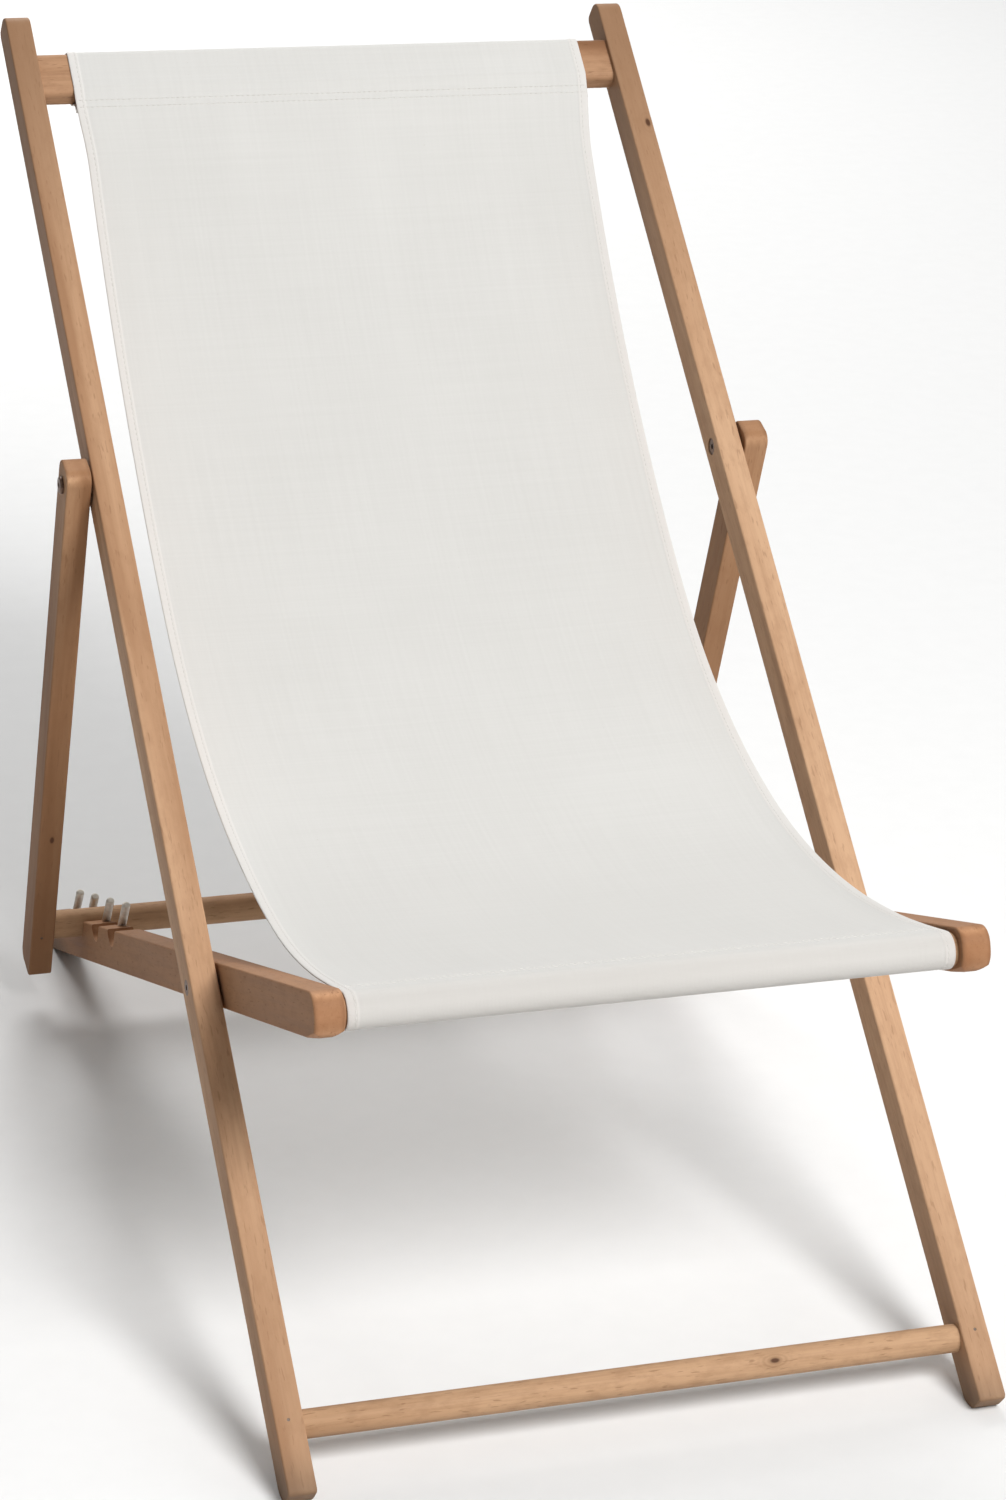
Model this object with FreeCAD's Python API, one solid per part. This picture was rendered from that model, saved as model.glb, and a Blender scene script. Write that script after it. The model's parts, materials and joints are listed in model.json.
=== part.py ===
import FreeCAD, Part
import math
import os
from FreeCAD import Vector

# Folding deck chair. Everything is drawn in the plane of the back frame, with Y up along the
# back rails from their feet and Z out of their front faces, and then leaned until it stands.

# Back frame: two long rails, a flat top rail and a round foot dowel
frame_width = 540.0
back_rail_thick = 21.0
back_rail_depth = 29.0
back_rail_length = 1286.5
foot_dowel_place = 54.0
foot_dowel_diameter = 21.0
seat_pivot_place = 395.0
prop_pivot_place = 833.0
top_rail_drop = 60.5
top_rail_height = 42.0
top_rail_thick = 20.0
top_rail_round = 6.0
back_top_round = 13.0
back_top_rear_round = 6.0

# Seat frame, measured from its pivot
seat_rail_thick = 22.0
seat_rail_height = 33.0
seat_front_length = 284.0
seat_rear_length = 660.0
seat_front_round = 13.0
seat_front_low_round = 16.0
seat_taper_length = 30.0
seat_taper_tip = 16.9
seat_taper_rise = 2.5
front_bar_setback = 19.0
front_bar_diameter = 24.0

# Prop frame, measured from its pivot
prop_thick = 20.0
prop_depth = 31.0
prop_top_length = 18.0
prop_top_round = 10.0
prop_reach = 468.0
prop_tail_length = 44.0
prop_dowel_diameter = 24.0

# Recline notches in the seat rails and the pegs behind them
notch_count = 4
notch_count_ahead = 2
notch_pitch = 65.0
last_notch_setback = 85.0
notch_depth = 13.5
notch_lean = 36.0
peg_diameter = 7.0
peg_proud = 32.0
peg_root = 12.0
peg_lean = 53.0
peg_setback = 35.0
peg_edge = 5.0
peg_tip_round = 1.6

# Rail ends and edges
foot_round = 16.0
end_round = 10.0
corner_round = 4.0
edge_ease = 1.5
foot_flat_cut = 1.5

# Tenons and the brads that lock them
tenon_diameter = 14.0
tenon_length = 16.0
top_tenon_height = 24.0
top_tenon_thick = 10.0
brad_diameter = 2.4
brad_length = 20.0
brad_inset = 11.0
brad_sink = 0.3

# Pivot hardware
bolt_diameter = 6.0
bolt_engagement = 12.0
countersink_diameter = 12.0
cap_head_diameter = 14.0
cap_head_thick = 2.6
cap_head_round = 1.4
sleeve_diameter = 9.0
sleeve_head_diameter = 14.0
sleeve_head_thick = 1.5
prop_sleeve_length = 17.0
sleeve_recess = 0.8
washer_diameter = 18.0
socket_across = 4.0
socket_depth = 1.6
bore_spare = 1.0

# Sling: it leaves the top rail at an angle, curves down the back, bends under the sitter and
# runs up to the front bar a little flatter than the seat rails
sling_thick = 1.2
sling_leave = 18.3
sling_back_radius = 1365.0
sling_back_turn = 19.0
sling_bend_share = 0.97
sling_front_drop = 3.3

# Clearances
side_gap = 2.0
turn_gap = 0.1
running_gap = 0.05
glue_gap = 0.03
notch_gap = 0.35
sling_gap = 0.3
sling_side_gap = 6.0

# Faces of the rails across the chair, from the middle outwards
back_out = frame_width / 2
back_in = back_out - back_rail_thick
seat_out = back_in - side_gap
seat_in = seat_out - seat_rail_thick
prop_in = back_out + side_gap
prop_out = prop_in + prop_thick
seat_washer_face = seat_out + turn_gap
prop_washer_face = prop_in - turn_gap

# Places along the rails
top_rail_place = back_rail_length - top_rail_drop
front_bar_place = front_bar_setback - seat_front_length
first_notch_place = seat_rear_length - last_notch_setback - (notch_count - 1) * notch_pitch
notch_places = [first_notch_place + i * notch_pitch for i in range(notch_count)]

# The triangle of the two pivots and the prop dowel sets both frames' angles
dowel_rise = seat_rail_height / 2 - notch_depth + prop_dowel_diameter / 2
dowel_place = notch_places[notch_count_ahead]
pivot_span = prop_pivot_place - seat_pivot_place
dowel_span = math.hypot(dowel_place, dowel_rise)


def corner_angle(near, other, facing):
    """Angle in degrees between two sides of a triangle, opposite the third."""
    return math.degrees(math.acos((near**2 + other**2 - facing**2) / (2 * near * other)))


seat_angle = corner_angle(pivot_span, dowel_span, prop_reach) \
    + math.degrees(math.atan2(dowel_rise, dowel_place))
prop_corner = corner_angle(pivot_span, prop_reach, dowel_span)


def on_seat(y, z):
    """A point of the seat frame, seen in the plane of the back frame."""
    turn = math.radians(seat_angle)
    return Vector(0, seat_pivot_place + y * math.cos(turn) + z * math.sin(turn),
                  z * math.cos(turn) - y * math.sin(turn))


# Both pairs of feet end in the same round corner, so the floor is parallel to their centres
back_foot = Vector(0, foot_round, foot_round - back_rail_depth / 2)
seat_foot = on_seat(seat_rear_length - foot_round, foot_round - seat_rail_height / 2)
foot_line = seat_foot - back_foot
recline = -math.degrees(math.atan2(foot_line.z, foot_line.y))


def place_seat(shape):
    """Turn a shape drawn from the seat pivot into its place on the back frame."""
    shape.rotate(Vector(0, 0, 0), Vector(1, 0, 0), -seat_angle)
    shape.translate(Vector(0, seat_pivot_place, 0))
    return shape


def place_prop(shape):
    """Turn a shape drawn from the prop pivot into its place on the back frame."""
    shape.rotate(Vector(0, 0, 0), Vector(1, 0, 0), prop_corner - 180)
    shape.translate(Vector(0, prop_pivot_place, 0))
    return shape


def arc(first, middle, last):
    return Part.Arc(first, middle, last).toShape()


def line(first, last):
    return Part.LineSegment(first, last).toShape()


def rounded_outline(corners):
    """A closed wire in the YZ plane with a round at each (y, z, radius)."""
    rounds = []
    for i, (y, z, radius) in enumerate(corners):
        here = Vector(0, y, z)
        last = corners[i - 1]
        following = corners[(i + 1) % len(corners)]
        back = (Vector(0, last[0], last[1]) - here).normalize()
        ahead = (Vector(0, following[0], following[1]) - here).normalize()
        half = back.getAngle(ahead) / 2
        reach = radius / math.tan(half)
        bisector = (back + ahead).normalize()
        crown = here + bisector * (radius / math.sin(half) - radius)
        rounds.append((here + back * reach, crown, here + ahead * reach))
    edges = []
    for i, (first, crown, last) in enumerate(rounds):
        edges.append(arc(first, crown, last))
        edges.append(line(last, rounds[(i + 1) % len(rounds)][0]))
    return Part.Wire(edges)


def extruded(face, first, last):
    """Stretch a face of the YZ plane across the chair between two X places."""
    solid = face.extrude(Vector(abs(last - first), 0, 0))
    solid.translate(Vector(min(first, last), 0, 0))
    return solid


def plank(start, stop, depth, rounds, first, last):
    """A rail with rounded ends and eased long edges."""
    low = -depth / 2
    high = depth / 2
    corners = [(start, low, rounds[0]), (stop, low, rounds[1]),
               (stop, high, rounds[2]), (start, high, rounds[3])]
    solid = extruded(Part.Face(rounded_outline(corners)), first, last)
    rim = [edge for edge in solid.Edges if edge.BoundBox.XLength < edge_ease / 10]
    return solid.makeFillet(edge_ease, rim)


def rod(radius, first, last, y=0.0, z=0.0):
    """A cylinder across the chair between two X places."""
    return Part.makeCylinder(radius, abs(last - first), Vector(min(first, last), y, z), Vector(1, 0, 0))


def block(first, last, y_low, y_high, z_low, z_high):
    """A plain box between two X places."""
    corner = Vector(min(first, last), y_low, z_low)
    return Part.makeBox(abs(last - first), y_high - y_low, z_high - z_low, corner)


def turned_bar(diameter, half_length, y):
    """A round bar with a smaller tenon at each end."""
    bar = rod(diameter / 2, -half_length, half_length, y)
    tenons = rod(tenon_diameter / 2, -half_length - tenon_length, half_length + tenon_length, y)
    return bar.fuse(tenons).removeSplitter()


def tenon_hole(side, face, y):
    """Cutter for the hole that takes a round tenon."""
    return rod(tenon_diameter / 2 + glue_gap, side * face, side * (face + tenon_length + glue_gap), y)


def brads(face, y, rail_depth, way, gap=0.0):
    """Two brads driven in from the front (way 1) or the rear (way -1) face of the rails."""
    pins = []
    top = rail_depth / 2 - brad_sink
    length = brad_length
    if gap:
        top = rail_depth / 2 + gap
        length = brad_length + brad_sink + 2 * gap
    for side in (-1, 1):
        start = Vector(side * (face + brad_inset), y, way * top)
        pins.append(Part.makeCylinder(brad_diameter / 2 + gap, length, start, Vector(0, 0, -way)))
    return Part.makeCompound(pins)


def hex_socket(side, x, y):
    """Cutter for the key's socket in a head whose outer face is at x."""
    radius = socket_across / 2 / math.cos(math.radians(30))
    points = []
    for i in range(7):
        turn = math.radians(60 * i)
        points.append(Vector(0, y + radius * math.cos(turn), radius * math.sin(turn)))
    return extruded(Part.Face(Part.makePolygon(points)), side * x, side * (x - socket_depth))


def countersink(side, gap=0.0):
    """The cone of a flush head on the outer face of a back rail."""
    narrow = bolt_diameter / 2 + gap
    wide = countersink_diameter / 2 + gap
    start = Vector(side * (back_out - (wide - narrow)), seat_pivot_place, 0)
    return Part.makeCone(narrow, wide, wide - narrow, start, Vector(side, 0, 0))


def back_rail(side):
    rail = plank(0, back_rail_length, back_rail_depth,
                 (foot_round, back_top_rear_round, back_top_round, corner_round),
                 side * back_in, side * back_out)
    cutters = [
        tenon_hole(side, back_in, foot_dowel_place),
        block(side * back_in, side * (back_in + tenon_length + glue_gap),
              top_rail_place - top_tenon_height / 2 - glue_gap,
              top_rail_place + top_tenon_height / 2 + glue_gap,
              -top_tenon_thick / 2 - glue_gap, top_tenon_thick / 2 + glue_gap),
        rod(bolt_diameter / 2 + glue_gap, side * back_in, side * back_out, seat_pivot_place),
        countersink(side, glue_gap),
        rod(bolt_diameter / 2 + glue_gap, side * back_in, side * back_out, prop_pivot_place),
        rod(sleeve_diameter / 2 + glue_gap, side * back_in,
            side * (back_in + sleeve_recess + prop_sleeve_length + glue_gap), prop_pivot_place),
        rod(sleeve_head_diameter / 2 + glue_gap, side * back_in,
            side * (back_in + sleeve_recess + sleeve_head_thick + glue_gap), prop_pivot_place),
        brads(back_in, foot_dowel_place, back_rail_depth, 1, glue_gap),
        brads(back_in, top_rail_place, back_rail_depth, -1, glue_gap),
    ]
    return rail.cut(cutters)


def top_rail():
    low = top_rail_place - top_rail_height / 2
    high = top_rail_place + top_rail_height / 2
    half = top_rail_thick / 2
    section = rounded_outline([(low, -half, top_rail_round), (high, -half, top_rail_round),
                               (high, half, top_rail_round), (low, half, top_rail_round)])
    bar = extruded(Part.Face(section), -back_in, back_in)
    reach = back_in + tenon_length
    tenon = block(-reach, reach, top_rail_place - top_tenon_height / 2,
                  top_rail_place + top_tenon_height / 2, -top_tenon_thick / 2, top_tenon_thick / 2)
    holes = brads(back_in, top_rail_place, back_rail_depth, -1, glue_gap)
    return bar.fuse(tenon).removeSplitter().cut(holes)


def top_rail_brads():
    return brads(back_in, top_rail_place, back_rail_depth, -1)


def foot_dowel():
    holes = brads(back_in, foot_dowel_place, back_rail_depth, 1, glue_gap)
    return turned_bar(foot_dowel_diameter, back_in, foot_dowel_place).cut(holes)


def foot_dowel_brads():
    return brads(back_in, foot_dowel_place, back_rail_depth, 1)


def seat_pivot_bolt(side):
    end = seat_washer_face - bolt_engagement
    shank = rod(bolt_diameter / 2, side * end, side * back_out, seat_pivot_place)
    bolt = shank.fuse(countersink(side)).removeSplitter()
    return bolt.cut(hex_socket(side, back_out, seat_pivot_place))


def seat_pivot_washer(side):
    disc = rod(washer_diameter / 2, side * seat_washer_face, side * back_in, seat_pivot_place)
    return disc.cut(rod(bolt_diameter / 2 + glue_gap, side * seat_washer_face, side * back_in,
                        seat_pivot_place))


def seat_pivot_nut(side):
    shoulder = seat_in - turn_gap
    rim = shoulder - sleeve_head_thick
    bore_end = seat_washer_face - bolt_engagement - bore_spare
    sleeve = rod(sleeve_diameter / 2, side * rim, side * seat_washer_face, seat_pivot_place)
    head = rod(sleeve_head_diameter / 2, side * rim, side * shoulder, seat_pivot_place)
    bore = rod(bolt_diameter / 2 + glue_gap, side * bore_end, side * seat_washer_face, seat_pivot_place)
    key = hex_socket(-side, -rim, seat_pivot_place)
    return sleeve.fuse(head).removeSplitter().cut([bore, key])


def prop_pivot_bolt(side):
    seat = prop_out + turn_gap
    crown = seat + cap_head_thick
    end = back_in + sleeve_recess + prop_sleeve_length - bolt_engagement
    head = rod(cap_head_diameter / 2, side * seat, side * crown, prop_pivot_place)
    rim = [edge for edge in head.Edges
           if edge.BoundBox.XLength < cap_head_thick / 10
           and abs(edge.CenterOfMass.x) > seat + cap_head_thick / 2]
    head = head.makeFillet(cap_head_round, rim)
    shank = rod(bolt_diameter / 2, side * end, side * seat, prop_pivot_place)
    return head.fuse(shank).removeSplitter().cut(hex_socket(side, crown, prop_pivot_place))


def prop_pivot_washer(side):
    disc = rod(washer_diameter / 2, side * back_out, side * prop_washer_face, prop_pivot_place)
    return disc.cut(rod(bolt_diameter / 2 + glue_gap, side * back_out, side * prop_washer_face,
                        prop_pivot_place))


def prop_pivot_nut(side):
    rim = back_in + sleeve_recess
    far = rim + prop_sleeve_length
    sleeve = rod(sleeve_diameter / 2, side * rim, side * far, prop_pivot_place)
    head = rod(sleeve_head_diameter / 2, side * rim, side * (rim + sleeve_head_thick), prop_pivot_place)
    bore = rod(bolt_diameter / 2 + glue_gap, side * (far - bolt_engagement - bore_spare), side * far,
               prop_pivot_place)
    key = hex_socket(-side, -rim, prop_pivot_place)
    return sleeve.fuse(head).removeSplitter().cut([bore, key])


def notch(place, side):
    """Cutter for one recline notch, open upwards and to the front."""
    radius = prop_dowel_diameter / 2 + notch_gap
    bed = rod(radius, side * seat_in, side * seat_out, place, dowel_rise)
    mouth = block(side * seat_in, side * seat_out, -radius, radius, 0, prop_dowel_diameter)
    mouth.rotate(Vector(0, 0, 0), Vector(1, 0, 0), notch_lean)
    mouth.translate(Vector(0, place, dowel_rise))
    return bed.fuse(mouth)


def peg(place, side, gap=0.0):
    """One leaning peg, or with a gap the hole that it stands in."""
    lean = math.radians(peg_lean)
    axis = Vector(0, -math.sin(lean), math.cos(lean))
    base = Vector(side * (seat_in + peg_edge), place + peg_setback, seat_rail_height / 2)
    start = base - axis * (peg_root + gap)
    pin = Part.makeCylinder(peg_diameter / 2 + gap, peg_root + peg_proud + gap, start, axis)
    if gap:
        return pin
    top = start + axis * (peg_root + peg_proud)
    rim = [edge for edge in pin.Edges if edge.CenterOfMass.distanceToPoint(top) < peg_diameter / 10]
    return pin.makeFillet(peg_tip_round, rim)


def front_taper(side):
    """A long cone round a seat rail, which takes the lower corners off the rail's front end."""
    corner = math.hypot(seat_rail_thick / 2, seat_rail_height / 2 + seat_taper_rise)
    slope = (corner - seat_taper_tip) / seat_taper_length
    lead = seat_taper_tip
    start = Vector(side * (seat_in + seat_out) / 2, -seat_front_length - lead, seat_taper_rise)
    length = lead + seat_front_length + seat_rear_length + foot_round
    first = seat_taper_tip - slope * lead
    return Part.makeCone(first, first + slope * length, length, start, Vector(0, 1, 0))


def seat_rail(side):
    rail = plank(-seat_front_length, seat_rear_length, seat_rail_height,
                 (seat_front_low_round, foot_round, corner_round, seat_front_round),
                 side * seat_in, side * seat_out).common(front_taper(side))
    cutters = [
        tenon_hole(side, seat_in, front_bar_place),
        rod(sleeve_diameter / 2 + running_gap, side * seat_in, side * seat_out),
        brads(seat_in, front_bar_place, seat_rail_height, -1, glue_gap),
    ]
    for place in notch_places:
        cutters.append(notch(place, side))
        cutters.append(peg(place, side, glue_gap))
    return place_seat(rail.cut(cutters))


def recline_pegs(side):
    return place_seat(Part.makeCompound([peg(place, side) for place in notch_places]))


def front_bar():
    holes = brads(seat_in, front_bar_place, seat_rail_height, -1, glue_gap)
    return place_seat(turned_bar(front_bar_diameter, seat_in, front_bar_place).cut(holes))


def front_bar_brads():
    return place_seat(brads(seat_in, front_bar_place, seat_rail_height, -1))


def prop_strut(side):
    strut = plank(-prop_top_length, prop_reach + prop_tail_length, prop_depth,
                  (prop_top_round, corner_round, end_round, prop_top_round),
                  side * prop_in, side * prop_out)
    cutters = [
        tenon_hole(side, prop_in, prop_reach),
        rod(bolt_diameter / 2 + running_gap, side * prop_in, side * prop_out),
        brads(prop_in, prop_reach, prop_depth, -1, glue_gap),
    ]
    return place_prop(strut.cut(cutters))


def prop_dowel():
    holes = brads(prop_in, prop_reach, prop_depth, -1, glue_gap)
    return place_prop(turned_bar(prop_dowel_diameter, prop_in, prop_reach).cut(holes))


def prop_dowel_brads():
    return place_prop(brads(prop_in, prop_reach, prop_depth, -1))


def inward(turn):
    """Direction towards the sitter where the sling's heading has turned by this angle."""
    return Vector(0, math.sin(turn), math.cos(turn))


def heading(turn):
    """Direction in which the sling runs on there, from the top rail to the front bar."""
    return Vector(0, -math.cos(turn), math.sin(turn))


def sweep(centre, radius, first, last):
    """Arcs about a centre between two headings, each under half a circle."""
    count = math.ceil(abs(last - first) / math.radians(120))
    step = (last - first) / count
    arcs = []
    for i in range(count):
        turns = [first + step * (i + share) for share in (0, 0.5, 1)]
        arcs.append(arc(*[centre + inward(turn) * radius for turn in turns]))
    return arcs


def sling():
    half = sling_thick / 2
    leave = math.radians(-sling_leave)
    bend = leave + math.radians(sling_back_turn)
    rise = math.radians(seat_angle - sling_front_drop)
    corner = Vector(0, top_rail_place - top_rail_height / 2 + top_rail_round,
                    top_rail_thick / 2 - top_rail_round)
    wrap = top_rail_round + sling_gap + half
    roll = front_bar_diameter / 2 + sling_gap + half
    bar = on_seat(front_bar_place, 0)

    # Middle line: an arc down the back, then a rounded bend into a line that touches the front roll
    back_centre = corner + inward(leave) * (wrap + sling_back_radius)
    back_end = back_centre - inward(bend) * sling_back_radius
    front_end = bar + inward(rise) * roll
    chord = front_end - back_end
    back_run = chord.cross(heading(rise)).Length / math.sin(rise - bend)
    front_run = chord.cross(heading(bend)).Length / math.sin(rise - bend)
    bend_run = sling_bend_share * min(back_run, front_run)
    seat_radius = bend_run / math.tan((rise - bend) / 2)
    seat_centre = back_end + heading(bend) * (back_run - bend_run) + inward(bend) * seat_radius

    def face_edges(offset, first_turn):
        """One face of the cloth from the top rail's loop to the front roll."""
        shift = inward(bend) * offset
        first = seat_centre - inward(bend) * (seat_radius - offset)
        last = seat_centre - inward(rise) * (seat_radius - offset)
        edges = sweep(back_centre, offset - sling_back_radius, first_turn, bend)
        edges.append(line(back_end + shift, first))
        edges += sweep(seat_centre, offset - seat_radius, bend, rise)
        return edges, last

    # Where the rear face runs out of the front roll and out of the loop round the top rail
    roll_turn = math.acos((roll - half) / (roll + half))
    roll_exit = bar + inward(rise + roll_turn) * (roll + half)
    span = wrap + sling_back_radius
    height = (span**2 + (wrap + half)**2 - (sling_back_radius + half)**2) / (2 * span)
    loop_turn = math.acos(height / (wrap + half))
    rear_turn = math.acos((span - height) / (sling_back_radius + half))

    edges, front_tip = face_edges(half, leave)
    edges.append(line(front_tip, bar + inward(rise) * (roll + half)))
    edges += sweep(bar, roll + half, rise, rise + roll_turn - 2 * math.pi)
    rear_edges, rear_tip = face_edges(-half, leave + rear_turn)
    edges.append(line(roll_exit, rear_tip))
    edges += rear_edges

    # Loop round the top rail, corner by corner
    across = top_rail_height - 2 * top_rail_round
    through = top_rail_thick - 2 * top_rail_round
    centres = [corner, corner + Vector(0, 0, -through), corner + Vector(0, across, -through),
               corner + Vector(0, across, 0), corner]
    turns = [leave - loop_turn, -math.pi / 2, -math.pi, -1.5 * math.pi, -2 * math.pi]
    ends = turns[1:] + [leave - 2 * math.pi]
    for i, centre in enumerate(centres):
        edges += sweep(centre, wrap + half, turns[i], ends[i])
        if i < 4:
            step = inward(ends[i]) * (wrap + half)
            edges.append(line(centre + step, centres[i + 1] + step))
    outline = Part.Face(Part.Wire(Part.__sortEdges__(edges)))

    # The top rail and the front bar keep their room inside the loops
    inner = top_rail_round + sling_gap
    low = top_rail_place - top_rail_height / 2 - sling_gap
    high = top_rail_place + top_rail_height / 2 + sling_gap
    deep = top_rail_thick / 2 + sling_gap
    pocket = rounded_outline([(low, -deep, inner), (high, -deep, inner),
                              (high, deep, inner), (low, deep, inner)])
    half_width = seat_in - sling_side_gap
    sheet = extruded(outline, -half_width, half_width)
    bore = rod(roll - half, -half_width, half_width, bar.y, bar.z)
    return sheet.cut([extruded(Part.Face(pocket), -half_width, half_width), bore])


pieces = {
    "top_rail": top_rail(),
    "top_rail_brads": top_rail_brads(),
    "foot_dowel": foot_dowel(),
    "foot_dowel_brads": foot_dowel_brads(),
    "front_bar": front_bar(),
    "front_bar_brads": front_bar_brads(),
    "prop_dowel": prop_dowel(),
    "prop_dowel_brads": prop_dowel_brads(),
    "sling": sling(),
}
sided = {
    "back_rail": back_rail,
    "seat_rail": seat_rail,
    "recline_pegs": recline_pegs,
    "prop_strut": prop_strut,
    "seat_pivot_bolt": seat_pivot_bolt,
    "seat_pivot_washer": seat_pivot_washer,
    "seat_pivot_nut": seat_pivot_nut,
    "prop_pivot_bolt": prop_pivot_bolt,
    "prop_pivot_washer": prop_pivot_washer,
    "prop_pivot_nut": prop_pivot_nut,
}
for hand, side in (("left", -1), ("right", 1)):
    for name, make in sided.items():
        pieces[hand + "_" + name] = make(side)

# Lean the chair back, stand it on the floor and centre it
for shape in pieces.values():
    shape.rotate(Vector(0, 0, 0), Vector(1, 0, 0), recline)
lean = math.radians(recline)
floor = back_foot.y * math.sin(lean) + back_foot.z * math.cos(lean) - foot_round + foot_flat_cut
rails = Part.makeCompound([pieces["left_back_rail"], pieces["left_seat_rail"]])
reach = rails.optimalBoundingBox(False, False)
shift = Vector(0, -(reach.YMin + reach.YMax) / 2, -floor)
ground = block(-frame_width, frame_width, -back_rail_length, back_rail_length, -foot_round, 0)
os.makedirs("parts", exist_ok=True)
for name, shape in pieces.items():
    shape.translate(shift)
    if name.endswith(("back_rail", "seat_rail")):
        shape = shape.cut(ground)
    shape.exportStep("parts/" + name + ".step")


def standing(point):
    """A point of the back frame's plane after leaning, in metres."""
    y = point.y * math.cos(lean) - point.z * math.sin(lean) + shift.y
    z = point.y * math.sin(lean) + point.z * math.cos(lean) + shift.z
    return round(y / 1000, 6), round(z / 1000, 6)


print("recline", recline, "seat", seat_angle, "prop", prop_corner, "shift", shift)
print("seat pivot", standing(Vector(0, seat_pivot_place, 0)))
print("prop pivot", standing(Vector(0, prop_pivot_place, 0)))
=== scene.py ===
# %% [markdown]
# # A folding deck chair
# The chair has a long back frame, a shorter seat frame that crosses it, and a prop frame whose crossbar
# drops into notches. A length of plain canvas hangs between the top rail and the front bar. The wood and
# the metal are already exact solids, so this lesson dresses them, and makes the canvas from scratch.

# %% Load the chair's frame
import json
import math
import bpy
from mathutils import Matrix, Vector


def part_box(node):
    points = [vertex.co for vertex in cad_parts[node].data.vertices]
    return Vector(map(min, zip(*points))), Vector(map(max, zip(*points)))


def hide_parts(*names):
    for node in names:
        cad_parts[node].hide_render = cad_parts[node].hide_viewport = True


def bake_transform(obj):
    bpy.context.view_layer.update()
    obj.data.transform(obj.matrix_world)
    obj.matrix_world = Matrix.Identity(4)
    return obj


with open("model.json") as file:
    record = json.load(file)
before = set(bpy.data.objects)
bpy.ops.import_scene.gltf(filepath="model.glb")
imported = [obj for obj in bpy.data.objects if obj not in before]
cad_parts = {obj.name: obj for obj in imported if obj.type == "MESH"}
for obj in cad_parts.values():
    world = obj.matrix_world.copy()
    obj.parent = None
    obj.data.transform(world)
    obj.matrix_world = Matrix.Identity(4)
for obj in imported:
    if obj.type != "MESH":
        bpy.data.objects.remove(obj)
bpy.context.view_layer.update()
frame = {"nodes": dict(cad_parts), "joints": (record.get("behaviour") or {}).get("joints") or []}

joints = {joint["name"]: Vector(joint["pos_m"]) for joint in frame["joints"]}


def put(name, data):
    """A new object in the scene, at the origin."""
    made = bpy.data.objects.new(name, data)
    bpy.context.scene.collection.objects.link(made)
    return made


# %% [markdown]
# ## The plane of the chair
# Seen from the side, the whole chair is a drawing in one plane. It is easiest to measure along the back
# rails: `up` runs from the seat pivot towards their tops, and `out` stands square to their front faces.
# Both pivots lie on the middle of the rails, so the line between them gives the lean of the back. The
# bars' own boxes give the slopes of the other two frames and the places that the cloth has to reach.

# %% Side drawing to room
seat_pivot, prop_pivot = joints["seat_fold"], joints["prop_fold"]


def slope_between(start, end):
    """The angle of a line of the side view above the floor."""
    return math.atan2(end.z - start.z, end.y - start.y)


def middle(node):
    """The middle of a solid's box."""
    low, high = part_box(node)
    return (low + high) / 2


recline = slope_between(seat_pivot, prop_pivot)
seat_slope = slope_between(middle("front_bar"), seat_pivot)
prop_slope = slope_between(prop_pivot, middle("prop_dowel"))
seat_angle = recline - seat_slope


def room(x, up, out):
    """A point of the side drawing, x across the chair, as a place in the room."""
    y = seat_pivot.y + up * math.cos(recline) - out * math.sin(recline)
    z = seat_pivot.z + up * math.sin(recline) + out * math.cos(recline)
    return Vector((x, y, z))


def drawing(point):
    """The up and out of a place in the room."""
    y, z = point.y - seat_pivot.y, point.z - seat_pivot.z
    return (y * math.cos(recline) + z * math.sin(recline),
            z * math.cos(recline) - y * math.sin(recline))


print("lean", [round(math.degrees(a), 2) for a in (recline, seat_slope, prop_slope)])

# %% [markdown]
# ## The camera
# The photograph was taken from the chair's front left, above the top of the back, with a fairly long
# lens. The camera is tilted by a few degrees, so its three axes are written out and put into a matrix
# instead of using a tracking constraint.

# %% Place the camera
camera_data = bpy.data.cameras.new("photo_camera")
camera_data.sensor_fit = "VERTICAL"
camera_data.sensor_height = 24.0
camera_data.lens = 63.76
camera_place = Vector((-0.89863, -2.75212, 1.55827))
to_right = Vector((0.95228, -0.30191, 0.04481))
to_top = Vector((0.07809, 0.38293, 0.92047))
to_viewer = Vector((-0.29506, -0.87305, 0.38823))
axes = Matrix((to_right, to_top, to_viewer)).transposed().to_4x4()
camera = put("photo_camera", camera_data)
camera.matrix_world = Matrix.Translation(camera_place) @ axes
bpy.context.scene.camera = camera
print("camera at", [round(v, 2) for v in camera.matrix_world.translation])

# %% [markdown]
# ## Shader arithmetic
# A material is a graph of nodes, and most of it is arithmetic. Wrapping a socket in a small class lets the
# script write that arithmetic as ordinary expressions, and one method makes any other node.


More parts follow.
